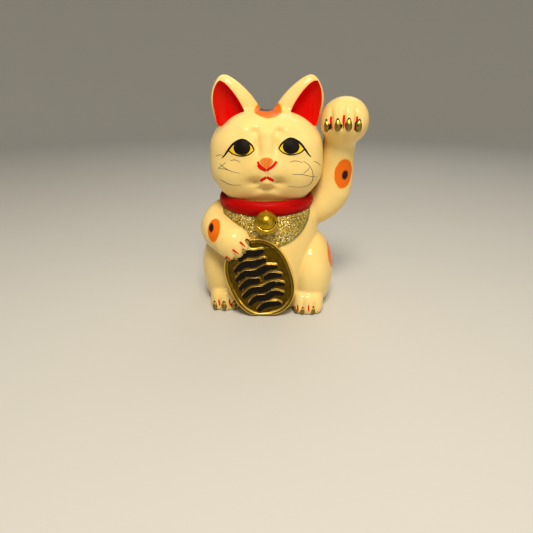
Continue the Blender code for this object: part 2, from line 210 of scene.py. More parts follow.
def ear(centre, half, square=(2, 2), grow=0.0, side=1):
    """A blade that narrows towards its tip and leans outwards; side is 1 on the left and -1 on the right."""
    upright = blob(centre, half, square, grow)
    shift = LEFT_EAR_SHIFT if side > 0 else 0

    def distance(x, y, z):
        rise = (z - EAR["centre"][2]) / EAR["half"][3]
        width = 1 - EAR_TAPER * np.clip(rise, 0, 1.05) ** 3
        lean = EAR_LEAN * EAR["half"][3] * rise
        return upright.distance((side * x - shift - EAR["centre"][0] - lean) / width + EAR["centre"][0], y, z)

    reach = EAR_LEAN * half[3]
    low = Vector((-60 if side < 0 else upright.low.x - reach, upright.low.y, upright.low.z))
    high = Vector((60 if side > 0 else reach - upright.low.x, upright.high.y, upright.high.z))
    return Form(distance, low, high)


def halfspace(axis, at, side):
    """Everything past a level on one axis: above it if side is 1 and below it if -1."""

    def distance(x, y, z):
        return side * (at - (x, y, z)[axis]) + 0 * (x + y + z)

    return Form(distance, *EVERYWHERE)


def bump(centre, spread, height):
    """A soft swelling, or a dent where height is below 0, laid on what is already there."""

    def amount(x, y, z):
        away = ((x - centre[0]) / spread[0]) ** 2 + ((y - centre[1]) / spread[1]) ** 2
        return height * np.exp(-away - ((z - centre[2]) / spread[2]) ** 2)

    reach = Vector(spread) * 2.5
    return Form(amount, Vector(centre) - reach, Vector(centre) + reach)


def soft_min(a, b, blend):
    if not blend:
        return np.minimum(a, b)
    near = np.maximum(blend - np.abs(a - b), 0) / blend
    return np.minimum(a, b) - near * near * blend / 4


# What a step of a recipe does with the value so far and its own form
VERBS = {
    "add": soft_min,
    "carve": lambda value, form, blend: -soft_min(-value, form, blend),
    "keep": lambda value, form, blend: -soft_min(-value, -form, blend),
    "bump": lambda value, form, blend: value - form,
}


def distance_to(recipe, points):
    """The recipe's signed distance at each of some points."""
    x, y, z = np.asarray(points, np.float64).T
    value = np.full(len(points), FAR)
    for verb, form, blend in recipe:
        value = VERBS[verb](value, form.distance(x, y, z), blend)
    return value


def vertex_normals(points, faces):
    """Unit normals of a quad mesh's vertices, weighted by the faces' areas."""
    corners = points[faces]
    across = np.cross(corners[:, 2] - corners[:, 0], corners[:, 3] - corners[:, 1])
    normals = np.empty_like(points)
    for axis in range(3):
        weights = np.repeat(across[:, axis], 4)
        normals[:, axis] = np.bincount(faces.ravel(), weights, len(points))
    return normals / (np.linalg.norm(normals, axis=1, keepdims=True) + TINY)


def sculpt(name, recipe, voxel, settle=3, place=Matrix()):
    """The mesh of a recipe, as placed, in metres in the row's frame, from a grid of distances."""
    added = [form for verb, form, _ in recipe if verb == "add"]
    low = np.min([form.low for form in added], axis=0) - 4 * voxel
    high = np.max([form.high for form in added], axis=0) + 4 * voxel
    axes = [np.arange(a, b, voxel, dtype=np.float32) for a, b in zip(low, high)]
    value = np.full([len(axis) for axis in axes], FAR, np.float32)
    for verb, form, blend in recipe:
        reach = 3 * voxel + 2 * blend
        limits = zip(axes, form.low, form.high)
        window = tuple(slice(*np.searchsorted(axis, (a - reach, b + reach))) for axis, a, b in limits)
        x, y, z = np.ix_(*(axis[part] for axis, part in zip(axes, window)))
        value[window] = VERBS[verb](value[window], form.distance(x, y, z), blend)
    grid = openvdb.FloatGrid(3.0)
    grid.copyFromArray(np.clip(value / voxel, -3, 3))
    points, faces = grid.convertToQuads(isovalue=0)
    points = points.astype(np.float64) * voxel + [axis[0] for axis in axes]
    normals = vertex_normals(points, faces)
    if distance_to(recipe, points[:500] + normals[:500] * voxel).mean() < 0:
        faces = faces[:, ::-1]
    for _ in range(settle):
        # Each vertex slides along its normal onto the exact surface
        normals = vertex_normals(points, faces)
        step = np.clip(distance_to(recipe, points), -voxel, voxel)
        points = points - normals * step[:, None]
    mesh = bpy.data.meshes.new(name)
    mesh.from_pydata(points.tolist(), [], faces.tolist())
    mesh.transform(Matrix.Translation(ORIGIN) @ Matrix.Scale(MM, 4) @ place)
    return mesh


# --- Objects and pieces -----------------------------------------------------------------------------------


def in_figure(mesh):
    """A mesh's vertices in the tables' millimetres."""
    points = np.empty(len(mesh.vertices) * 3)
    mesh.vertices.foreach_get("co", points)
    return (points.reshape(-1, 3) - np.array(ORIGIN)) / MM


def piece(name, mesh, finish, body="figurine", replaces=(), sharp=40):
    mesh.name = name
    mesh.materials.clear()
    mesh.materials.append(finish)
    mesh.shade_smooth()
    mesh.set_sharp_from_angle(angle=math.radians(sharp))
    obj = bpy.data.objects.new(name, mesh)
    bpy.context.scene.collection.objects.link(obj)
    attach(obj, body)
    if replaces:
        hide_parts(*replaces)


def cut_mesh(mesh, operation, *others):
    """A new mesh: this one without the other closed meshes (DIFFERENCE), or only inside them (INTERSECT)."""
    objects = [bpy.data.objects.new("working", each) for each in (mesh, *others)]
    for obj in objects:
        bpy.context.scene.collection.objects.link(obj)
    for other in objects[1:]:
        modifier = objects[0].modifiers.new("cut", "BOOLEAN")
        modifier.operation = operation
        modifier.solver = "MANIFOLD"
        modifier.object = other
    graph = bpy.context.evaluated_depsgraph_get()
    result = bpy.data.meshes.new_from_object(objects[0].evaluated_get(graph))
    for obj in objects:
        bpy.data.objects.remove(obj)
    return result


# --- Materials --------------------------------------------------------------------------------------------


def add(tree, kind, settings=None, **inputs):
    """A shader node with its settings and its inputs, each a value or another node's output."""
    node = tree.nodes.new("ShaderNode" + kind)
    for key, value in (settings or {}).items():
        setattr(node, key, value)
    for key, value in inputs.items():
        numbered = key[0] == "i" and key[1:].isdigit()
        socket = node.inputs[int(key[1:]) if numbered else key.replace("_", " ")]
        if isinstance(value, bpy.types.NodeSocket):
            tree.links.new(value, socket)
        else:
            socket.default_value = value
    return node


def new_material(name, colour, roughness, metallic=0.0, **sockets):
    material = bpy.data.materials.new(name)
    material.use_nodes = True
    material.diffuse_color = (*colour, 1)
    shader = material.node_tree.nodes["Principled BSDF"]
    shader.inputs["Base Color"].default_value = (*colour, 1)
    shader.inputs["Roughness"].default_value = roughness
    shader.inputs["Metallic"].default_value = metallic
    for key, value in sockets.items():
        shader.inputs[key.replace("_", " ")].default_value = value
    return material, material.node_tree, shader


def ramp(tree, factor, stops, interpolation="EASE"):
    """A colour ramp of (place, colour) stops."""
    node = add(tree, "ValToRGB", Fac=factor)
    node.color_ramp.interpolation = interpolation
    elements = node.color_ramp.elements
    while len(elements) < len(stops):
        elements.new(0.5)
    for element, (place, colour) in zip(elements, stops):
        element.position = place
        element.color = (*colour, 1)
    return node.outputs["Color"]


def fade(tree, factor, none, full):
    """Black where the factor is at none and white where it is at full, whichever of the two is lower."""
    return greys(tree, factor, *sorted(((none, 0), (full, 1))))


def greys(tree, factor, *stops):
    """A ramp of (place, brightness) stops."""
    return ramp(tree, factor, [(place, (level,) * 3) for place, level in stops])


def arithmetic(tree, operation, first, second=0.0):
    return add(tree, "Math", {"operation": operation}, i0=first, i1=second).outputs[0]


def times(tree, first, second):
    return arithmetic(tree, "MULTIPLY", first, second)


def mixed(tree, factor, first, second):
    node = add(tree, "MixRGB", Fac=factor)
    for socket, value in ((node.inputs[1], first), (node.inputs[2], second)):
        if isinstance(value, bpy.types.NodeSocket):
            tree.links.new(value, socket)
        else:
            socket.default_value = (*value, 1)
    return node.outputs[0]


def noise(tree, position, scale, detail=2.0, distortion=0.0):
    made = add(tree, "TexNoise", Vector=position, Scale=scale, Detail=detail, Distortion=distortion)
    return made.outputs["Fac"]


def bumped(tree, shader, height, strength, distance):
    node = add(tree, "Bump", Height=height, Strength=strength, Distance=distance)
    tree.links.new(node.outputs["Normal"], shader.inputs["Normal"])


def ellipse(tree, position, centre, radii):
    """How far out of an ellipsoid a point lies: 0 at its middle and 1 on its surface."""
    middle = ORIGIN + Vector(centre) * MM
    moved = add(tree, "VectorMath", {"operation": "SUBTRACT"}, i0=position, i1=middle).outputs[0]
    scaled = add(tree, "VectorMath", {"operation": "DIVIDE"}, i0=moved, i1=Vector(radii) * MM).outputs[0]
    return add(tree, "VectorMath", {"operation": "LENGTH"}, i0=scaled).outputs["Value"]


IVORY = (0.86, 0.66, 0.24)
# the brown of the painted shade in the glaze's creases
CREASE_SHADE = (0.42, 0.27, 0.11)
ORANGE = (0.80, 0.145, 0.001)
HALO = (0.90, 0.46, 0.03)
SMOKE = (0.012, 0.007, 0.006)
DARK_CLAY = (0.52, 0.40, 0.28)
PALE_CLAY = (0.66, 0.54, 0.40)
BARE_HEIGHT = 0.0045  # in metres: clay that faces down is bare of glaze below this


def glaze(name, spots=()):
    """White glaze with painted shade, browner in its creases; bare clay under the foot; and airbrushed spots.
    """
    material, tree, shader = new_material(name, IVORY, 0.12, IOR=1.45, Specular_IOR_Level=0.2)
    position = add(tree, "NewGeometry").outputs["Position"]
    cloud = noise(tree, position, 22.0, 3.0)
    colour = ramp(tree, cloud, ((0.3, (0.83, 0.59, 0.20)), (0.7, (0.89, 0.67, 0.26))))
    # Painted shade: the colour turns browner where the surface is hollow, in creases
    pointed = add(tree, "NewGeometry").outputs["Pointiness"]
    crease_shade = fade(tree, pointed, none=0.49, full=0.40)
    colour = mixed(tree, times(tree, crease_shade, 0.5), colour, CREASE_SHADE)
    fleck = fade(tree, noise(tree, position, 900.0, 1.0), none=0.76, full=0.80)
    colour = mixed(tree, times(tree, fleck, 0.25), colour, (0.45, 0.30, 0.12))
    downward = add(tree, "SeparateXYZ", Vector=add(tree, "NewGeometry").outputs["Normal"]).outputs["Z"]
    height = add(tree, "SeparateXYZ", Vector=position).outputs["Z"]
    height = arithmetic(tree, "ADD", height, times(tree, noise(tree, position, 120.0), 0.001))
    faces_down = arithmetic(tree, "LESS_THAN", downward, -0.6)
    bare = times(tree, faces_down, arithmetic(tree, "LESS_THAN", height, BARE_HEIGHT))
    uneven = arithmetic(tree, "SUBTRACT", noise(tree, position, 160.0), 0.5)
    wobble = times(tree, uneven, 0.12)
    for orange, smoke in spots:
        level = arithmetic(tree, "ADD", ellipse(tree, position, *orange), wobble)
        halo = fade(tree, level, none=1.0, full=0.95)
        body = fade(tree, level, none=0.98, full=0.88)
        colour = mixed(tree, halo, colour, HALO)
        colour = mixed(tree, body, colour, ORANGE)
        level = arithmetic(tree, "ADD", ellipse(tree, position, *smoke), wobble)
        colour = mixed(tree, fade(tree, level, none=1.0, full=0.55), colour, SMOKE)
    clay = ramp(tree, noise(tree, position, 700.0, 4.0), ((0.35, DARK_CLAY), (0.7, PALE_CLAY)))
    tree.links.new(mixed(tree, bare, colour, clay), shader.inputs["Base Color"])
    rough = greys(tree, noise(tree, position, 60.0, 3.0), (0.3, 0.09), (0.75, 0.2))
    tree.links.new(mixed(tree, bare, rough, (0.85, 0.85, 0.85)), shader.inputs["Roughness"])
    bumped(tree, shader, noise(tree, position, 180.0, 2.0), 0.25, 0.0002)
    return material


def enamel(name, colour, other, streak=(60.0, 60.0, 60.0), roughness=0.16, strength=0.3, specular=0.08):
    """Hand-brushed enamel: two tones of one colour in streaks."""
    material, tree, shader = new_material(name, colour, roughness, IOR=1.45, Specular_IOR_Level=specular)
    position = add(tree, "NewGeometry").outputs["Position"]
    stretched = add(tree, "VectorMath", {"operation": "MULTIPLY"}, i0=position, i1=streak).outputs[0]
    streaks = noise(tree, stretched, 1.0, 4.0, 0.4)
    tree.links.new(ramp(tree, streaks, ((0.3, other), (0.65, colour))), shader.inputs["Base Color"])
    rough = greys(tree, streaks, (0.3, roughness * 1.8), (0.7, roughness * 0.7))
    tree.links.new(rough, shader.inputs["Roughness"])
    bumped(tree, shader, streaks, strength, 0.0004)
    return material


# --- Castings: torso, arms, feet, tail, head and ears -------------------------------------------------------

RAISED_TOES = ((51, -33, 172), (60, -39, 172), (70, -40, 172), (80, -35, 172))
RESTING_TOES = ((-17, -62, 73), (-25, -64, 66), (-33, -61, 61))
LEFT_TOES = ((31, -54, 5), (41, -56, 5), (51, -54, 5))
RIGHT_TOES = ((-51, -46, 5), (-41, -48, 5), (-31, -46, 5))
SLOT = ((-17, 30, 85.6), (17, 70, 90.4))
# The stopper's hole as (radius, height): a bore through the floor above a wider recess
STOPPER_HOLE = ((0, 14), (17, 14), (17, 3.7), (17.5, 3.2), (22, 3.2), (22, -5), (0, -5))


def toes(centres, spread, height, groove, depth):
    """Swellings for the toes, with a groove above each gap between two."""
    steps = [("bump", bump(centre, spread, height), 0) for centre in centres]
    for first, second in zip(centres, centres[1:]):
        middle = (Vector(first) + Vector(second)) / 2 + Vector((0, 2, spread[2] * 0.8))
        steps.append(("bump", bump(middle, (groove, spread[1], spread[2] * 1.3), -depth), 0))
    return steps


def body_recipe():
    return [
        ("add", blob(**TRUNK), 0),
        ("add", blob(**LEFT_HAUNCH), 1.8),
        ("add", blob(**RIGHT_HAUNCH), 1.8),
        ("carve", halfspace(2, NECK_Z - 0.5, 1), 0.5),
        ("add", blob(**LEFT_FOOT), 2.5),
        ("add", blob(**RIGHT_FOOT), 2.5),
        ("add", limb(TAIL), 3),
        ("add", limb(RAISED_ARM), 5),
        ("add", blob(**RAISED_PAW), 4),
        ("add", limb(RESTING_ARM), 2.5),
        ("add", blob(**RESTING_PAW), 3),
        *toes(RAISED_TOES, (4.4, 9, 7.5), 1.7, 1.4, 2.5),
        *toes(RESTING_TOES, (3.8, 9, 5), 1.4, 1.4, 1.4),
        *toes(LEFT_TOES, (4.4, 9, 6), 1.4, 1.5, 1.5),
        *toes(RIGHT_TOES, (4.4, 9, 6), 1.4, 1.5, 1.5),
        ("carve", blob(**HEAD, grow=0.3), 0.6),
        ("carve", halfspace(2, 0.0, -1), 1.2),
    ]


def head_recipe():
    steps = [("add", blob(**HEAD), 0)]
    for centre, spread, height in FACE:
        for side in (1, -1) if centre[0] else (1,):
            steps.append(("bump", bump((side * centre[0], *centre[1:]), spread, height), 0))
    for x, depth in TEMPLES:
        steps.append(("bump", bump((x, -18, 174), (13, 20, 10), -depth), 0))
    steps.append(("carve", halfspace(2, NECK_Z, -1), 1.0))
    for side in (1, -1):
        steps.append(("add", ear(**EAR, side=side), 4))
    for side in (1, -1):
        steps.append(("carve", ear(**EAR_SCOOP, side=side), 0.8))
    return steps


def head_cavity():
    steps = [
        ("add", blob(**HEAD, grow=-WALL), 0),
        ("carve", halfspace(2, NECK_Z - 4, -1), 0),
    ]
    steps += [("carve", ear(**EAR_SCOOP, grow=4, side=side), 1) for side in (1, -1)]
    return sculpt("head_cavity", steps, 2.0, settle=2)


def coin_space():
    steps = [
        ("add", blob(**TRUNK, grow=-WALL), 0),
        ("add", blob(**LEFT_HAUNCH, grow=-WALL), 4),
        ("add", blob(**RIGHT_HAUNCH, grow=-WALL), 4),
        ("carve", halfspace(2, SHOULDER_Z, 1), 3),
        ("carve", halfspace(2, FLOOR_Z, -1), 3),
    ]
    return sculpt("coin_space", steps, 2.0, settle=2)


def turned_mesh(name, profile, steps, place=Matrix()):
    """A solid turned about Z from a profile of (radius, height) in millimetres."""
    bm = bmesh.new()
    points = [bm.verts.new((radius, 0, height)) for radius, height in profile]
    for first, second in zip(points, points[1:]):
        bm.edges.new((first, second))
    bmesh.ops.spin(
        bm,
        geom=bm.verts[:] + bm.edges[:],
        axis=(0, 0, 1),
        cent=(0, 0, 0),
        angle=math.tau,
        steps=steps,
        use_merge=True,
    )
    bmesh.ops.remove_doubles(bm, verts=bm.verts, dist=0.001)
    bmesh.ops.recalc_face_normals(bm, faces=bm.faces)
    return to_mesh(name, bm, place)


def block_mesh(name, low, high, edge=0.0):
    """A block between two corners, its edges rounded."""
    bm = bmesh.new()
    bmesh.ops.create_cube(bm, size=1)
    low, high = Vector(low), Vector(high)
    bm.transform(Matrix.Translation((low + high) / 2) @ Matrix.Diagonal((*(high - low), 1)))
    if edge:
        bmesh.ops.bevel(bm, geom=bm.edges[:], offset=edge, segments=3, profile=0.5, affect="EDGES")
    return to_mesh(name, bm)


def to_mesh(name, bm, place=Matrix()):
    """A mesh in the row's frame from a bmesh in the tables' millimetres, as placed."""
    bm.transform(Matrix.Translation(ORIGIN) @ Matrix.Scale(MM, 4) @ place)
    mesh = bpy.data.meshes.new(name)
    bm.to_mesh(mesh)
    bm.free()
    return mesh


def neck_bore(top):
    """A cylinder through the neck, up to some height."""
    profile = ((0, top), (NECK_BORE_RADIUS, top), (NECK_BORE_RADIUS, 90), (0, 90))
    return turned_mesh("neck_bore", profile, 64, Matrix.Translation((0, NECK_CENTRE_Y, 0)))


def make_castings(finish, body, head):
    """Parts the two glazed skins into the bank's castings."""
    off_trunk = ("carve", blob(**TRUNK, grow=-1.2), 0)
    off_left = ("carve", blob(**LEFT_HAUNCH, grow=-1.2), 0)
    off_right = ("carve", blob(**RIGHT_HAUNCH, grow=-1.2), 0)
    off_head = ("carve", blob(**HEAD, grow=-1.0), 0)
    raised_paw = ("add", blob(**RAISED_PAW, grow=3), 4)
    resting_paw = ("add", blob(**RESTING_PAW, grow=3), 4)
    zones = {
        "raised_arm": [("add", limb(RAISED_ARM, grow=3), 0), raised_paw, off_trunk],
        "resting_arm": [("add", limb(RESTING_ARM, grow=2.2), 0), resting_paw, off_trunk],
        "left_foot": [("add", blob(**LEFT_FOOT, grow=2), 0), off_left, off_trunk],
        "right_foot": [("add", blob(**RIGHT_FOOT, grow=2), 0), off_right, off_trunk],
        "tail": [("add", limb(TAIL, grow=2.2), 0), off_left, off_trunk],
        "left_ear": [("add", ear(**EAR, grow=2.5), 0), off_head],
        "right_ear": [("add", ear(**EAR, grow=2.5, side=-1), 0), off_head],
    }
    regions = {}
    for name, steps in zones.items():
        regions[name] = sculpt(name, steps, 1.5, settle=2)
        skin = head if name.endswith("ear") else body
        part = cut_mesh(skin, "INTERSECT", regions[name])
        piece(name + "_glazed", part, finish, replaces=[name])
    torso = cut_mesh(body, "DIFFERENCE", *(regions[name] for name in zones if not name.endswith("ear")))
    hole = turned_mesh("stopper_hole", STOPPER_HOLE, 96)
    slot = block_mesh("coin_slot", *SLOT, edge=1.4)
    torso = cut_mesh(torso, "DIFFERENCE", coin_space(), neck_bore(112), hole, slot)
    piece("torso_glazed", torso, finish, replaces=["torso_shell"])
    shell = cut_mesh(head, "DIFFERENCE", regions["left_ear"], regions["right_ear"])
    shell = cut_mesh(shell, "DIFFERENCE", head_cavity(), neck_bore(116))
    piece("head_glazed", shell, finish, replaces=["head_shell"])


# --- Enamel -------------------------------------------------------------------------------------------------

# The painter's eye, which is also the camera's place: a mark at (x, z) on the plane y = depth goes
# where the line from here through it lands
PAINTER = Vector((0, -394, 203.5))
CAMERA_DOWN = 24  # degrees


class Surface:
    """A skin to lay paint on or, with hollow set, the far wall of a scoop that has this mesh's shape."""

    def __init__(self, mesh, hollow=False):
        points = in_figure(mesh)
        faces = [tuple(face.vertices) for face in mesh.polygons if not hollow or face.normal.y > 0]
        if hollow:
            faces = [face[::-1] for face in faces]
        self.tree = BVHTree.FromPolygons(points.tolist(), faces)

    def under(self, mark, depth):
        target = Vector((mark[0], depth, mark[1]))
        place, normal, _, _ = self.tree.ray_cast(PAINTER, target - PAINTER)
        if place is None:
            place, normal, _, _ = self.tree.find_nearest(target)
        return place, normal


def smooth_line(marks, count, closed=False):
    """Evenly spaced shares along a smooth line through marks of any number of values."""
    marks = [np.array(mark, float) for mark in marks]
    if closed:
        marks = [*marks[-2:], *marks, *marks[:2]]
    else:
        marks = [2 * marks[0] - marks[1], *marks, 2 * marks[-1] - marks[-2]]
    spans = len(marks) - (4 if closed else 3)
    line = []
    for i in range(count):
        place = spans * i / (count if closed else count - 1)
        k = min(int(place), spans - 1)
        t = place - k
        k += 1 if closed else 0
        a, b, c, d = marks[k : k + 4]
        bend, twist = 2 * a - 5 * b + 4 * c - d, 3 * b - a - 3 * c + d
        line.append(b + (c - a) * t / 2 + bend * t * t / 2 + twist * t**3 / 2)
    return line


PAINT_RIM = -0.12  # how far the edge of a layer of paint, and then its underside, lie above the surface
PAINT_UNDERSIDE = -0.5


def shell_of(grid, surface, depth, rise, wrap=False):
    """A thin closed slab of paint over a grid of marks; its rim sinks into the surface under it."""
    bm = bmesh.new()
    rows, columns = len(grid), len(grid[0])
    tops, unders = [], []
    for i, row in enumerate(grid):
        tops.append([])
        unders.append([])
        for j, mark in enumerate(row):
            place, normal = surface.under(mark, depth)
            rim = i == rows - 1 or (not wrap and (i == 0 or j in (0, columns - 1)))
            tops[-1].append(bm.verts.new(place + normal * (PAINT_RIM if rim else rise)))
            unders[-1].append(bm.verts.new(place + normal * PAINT_UNDERSIDE))
    last = columns if wrap else columns - 1
    for i in range(rows - 1):
        for j in range(last):
            k = (j + 1) % columns
            bm.faces.new((tops[i][j], tops[i][k], tops[i + 1][k], tops[i + 1][j]))
            bm.faces.new((unders[i][j], unders[i + 1][j], unders[i + 1][k], unders[i][k]))
    edges = [[(i, j) for j in range(columns)] for i in ((rows - 1,) if wrap else (0, rows - 1))]
    if wrap:
        edges[0].append(edges[0][0])
    else:
        edges += [[(i, j) for i in range(rows)] for j in (0, columns - 1)]
    for line in edges:
        for (a, b), (c, d) in zip(line, line[1:]):
            bm.faces.new((tops[a][b], unders[a][b], unders[c][d], tops[c][d]))
    bmesh.ops.remove_doubles(bm, verts=bm.verts, dist=1e-4)
    bmesh.ops.recalc_face_normals(bm, faces=bm.faces)
    return to_mesh("paint", bm)


def patch(surface, outline, depth, rise=0.18, rings=10, spokes=64):
    """Paint that fills a smooth outline."""
    edge = smooth_line(outline, spokes, closed=True)
    middle = sum(edge) / len(edge)
    shares = [0.97 * ring / (rings - 1) for ring in range(rings)] + [1.0]
    grid = [[middle + (mark - middle) * share for mark in edge] for share in shares]
    return shell_of(grid, surface, depth, rise, wrap=True)


def stroke(surface, marks, depth, rise=0.18):
    """A brushed line through marks of (x, z, width)."""
    count = 6 * len(marks)
    line = smooth_line(marks, count)
    grid = []
    for i, mark in enumerate(line):
        before, after = line[max(i - 1, 0)], line[min(i + 1, count - 1)]
        along_x, along_z = (after - before)[:2]
        size = math.hypot(along_x, along_z) or 1
        side = np.array((along_z, -along_x)) / size
        grid.append([mark[:2] + side * mark[2] * share / 2 for share in (-1, -0.7, 0, 0.7, 1)])
    return shell_of(grid, surface, depth, rise)


def joined(meshes):
    """One mesh of several."""
    bm = bmesh.new()
    for mesh in meshes:
        bm.from_mesh(mesh)
    result = bpy.data.meshes.new("joined")
    bm.to_mesh(result)
    bm.free()
    return result


def mirrored(marks):
    return [(-mark[0], *mark[1:]) for mark in marks]


FACE_PLANE = -45
EYE = (
    (10.6, 156.2), (14.0, 161.2), (20.0, 164.0), (27.0, 161.6),
    (32.6, 156.0), (28, 152.8), (21.5, 151.4), (14.6, 152.8),
)
PUPIL = (
    (13.4, 157.6), (15.8, 162.4), (20.6, 164.4), (25.8, 162.4),
    (28.0, 157.6), (25.8, 153.2), (20.6, 151.6), (15.8, 153.2),
)
UPPER_LID = (
    (10.2, 155.6, 1.2), (13.2, 160.4, 2.0), (20.0, 164.1, 2.5), (27.4, 161.2, 2.3),
    (32.4, 155.8, 2.0), (35.8, 151.4, 1.3), (38.2, 149.2, 0.5),
)
LOWER_LID = ((10.2, 156.0, 1.0), (14.6, 152.5, 1.1), (21, 151.0, 1.2), (28, 152.5, 1.1), (32.6, 156.0, 1.4))
NOSE = (
    (-5.6, 146.4), (-3.8, 149.0), (0, 149.8), (3.8, 149.0),
    (5.6, 146.4), (3.2, 142.8), (0, 140.6), (-3.2, 142.8),
)
FACE_REDS = (
    ((-7.8, 146.6, 2.2), (-5.4, 142.8, 2.5), (-0.2, 138.9, 2.2)),
    ((-7.8, 144.0, 1.5), (-5.8, 140.8, 2.0), (-0.4, 138.3, 1.8)),
    ((8.9, 146.8, 2.6), (5.4, 142.5, 2.9), (-0.4, 138.5, 2.3)),
    ((-5.5, 129.4, 2.0), (-3.4, 131.0, 3.0), (0.3, 133.2, 2.6)),
    ((6.4, 129.6, 2.0), (3.8, 131.2, 3.0), (0.1, 133.2, 2.6)),
)
WHISKERS = (
    ((-43.5, 150.6), (-40.5, 152.0), (-36.5, 151.4)),
    ((-31.0, 147.0), (-27.0, 147.8), (-21.8, 145.6)),
    ((-42.0, 140.4), (-35.5, 140.0), (-29.5, 137.8), (-22.2, 136.4)),
    ((-40.5, 144.8), (-36.5, 141.4), (-32.0, 138.8)),
    ((-42.0, 140.6), (-38.0, 143.2), (-34.6, 145.8)),
    ((-40.4, 131.4), (-35.0, 128.0), (-29.0, 126.2), (-21.6, 126.4)),
    ((19.4, 145.6), (23.6, 146.9), (28.0, 146.4), (31.4, 145.0)),
    ((31.2, 146.8), (36.5, 143.4), (40.0, 137.2), (40.0, 130.2), (36.4, 126.0), (28.6, 124.4), (17.4, 125.4)),
    ((22.0, 135.4), (30.6, 135.4), (37.5, 134.0), (43.5, 133.5)),
    ((31.4, 136.2), (35.0, 138.8), (37.4, 141.6)),
    ((40.2, 146.8), (43.6, 145.5), (47.0, 142.4)),
)
LEFT_EYE_RAISE = 1.0


def paint_face(head, black, yellow, orange, red, line):
    def left(marks):
        return [(x, z + LEFT_EYE_RAISE, *rest) for x, z, *rest in marks]

    eyes, pupils, lids = [], [], []
    for side in (left, mirrored):
        eyes.append(patch(head, side(EYE), FACE_PLANE, 0.12))
        pupils.append(patch(head, side(PUPIL), FACE_PLANE, 0.26))
        lids.append(stroke(head, side(UPPER_LID), FACE_PLANE, 0.30))
        lids.append(stroke(head, side(LOWER_LID), FACE_PLANE, 0.24))
    piece("eye_yellow", joined(eyes), yellow)
    piece("eye_black", joined(pupils + lids), black)
    piece("nose", patch(head, NOSE, FACE_PLANE, 0.25), orange)
    piece("face_red", joined([stroke(head, marks, FACE_PLANE) for marks in FACE_REDS]), red)
    lines = []
    for marks in WHISKERS:
        widths = []
        for i in range(len(marks)):
            share = min(i / (len(marks) - 1) + 0.15, 1)
            widths.append(0.3 + 0.35 * math.sin(math.pi * share))
        line_marks = [(*mark, width) for mark, width in zip(marks, widths)]
        lines.append(stroke(head, line_marks, FACE_PLANE, 0.1))
    piece("whiskers", joined(lines), line)


# The ears' red: a leaf on each ear's hollow, whose lower edge runs on behind the brow
EAR_RED_CENTRE = (33.8, 187.6)
EAR_RED_HALF = (14.4, 24.2, 16.5)  # across, above the centre and below it
EAR_RED_POINTED = 1.65  # powers of its upper and lower ends: 2 would be an ellipse
EAR_RED_SQUARE = 3.0
EAR_RED_LEANS = (0.29, 0.15)  # how far it leans outwards, above the centre and below it
EAR_RED_SLANT = 0.3
RIGHT_EAR_RED_SHIFT = (-1.4, -1.6)  # outwards and up, from the left ear's
EAR_PLANE = -8

RAISED_CLAWS = ((50.4, 174.6), (60.0, 175.2), (69.6, 175.6), (78.6, 174.6))
RAISED_STROKES = ((54.2, 182.2, 56.0), (65.1, 183.2, 65.5), (76.3, 182.2, 74.6))
RESTING_CLAWS = ((-16.4, 77.2, -55), (-20.4, 70.1, -40), (-27.5, 63.2, -38), (-34.5, 59.6, -32))
RESTING_STROKES = ((-24.0, 78.9, -18.6, 73.9), (-30.7, 71.5, -24.6, 66.9), (-36.9, 65.0, -31.9, 60.5))
FOOT_CLAWS = ((35.3, 5.2), (25.9, 5.8), (45.6, 5.8))
FOOT_STROKES = (30.4, 41.0)
TOWARDS = Vector((0, -1, 0))
CLAW = ((-2.8, 1.9), (-0.8, 2.45), (1.6, 1.9), (3.8, 0.6))  # places along a claw and its radii there


def ear_red_outline(side, count=24):
    """A leaf that is pointed above and squarish below, with a lower edge that drops towards the outside."""
    across, up, down = EAR_RED_HALF
    shift = RIGHT_EAR_RED_SHIFT if side < 0 else (0, 0)
    outline = []
    for i in range(count):
        turn = 2 * math.pi * i / count
        upper = i <= count // 2
        power = 2 / (EAR_RED_POINTED if upper else EAR_RED_SQUARE)
        x = across * math.copysign(abs(math.cos(turn)) ** power, math.cos(turn))
        z = (up if upper else -down) * abs(math.sin(turn)) ** power
        slant = 0 if upper else EAR_RED_SLANT * x * z / down
        lean = EAR_RED_LEANS[0 if upper else 1] * z
        outwards = EAR_RED_CENTRE[0] + x + lean + shift[0]
        outline.append((side * outwards, EAR_RED_CENTRE[1] + z + slant + shift[1]))
    return outline


def paint_ears(red):
    patches = []
    for side in (1, -1):
        scoop = sculpt("scoop", [("add", ear(**EAR_SCOOP, side=side), 0)], 0.7)
        hollow = Surface(scoop, hollow=True)
        patches.append(patch(hollow, ear_red_outline(side), EAR_PLANE, 0.15, rings=18, spokes=96))
    piece("ear_red", joined(patches), red)


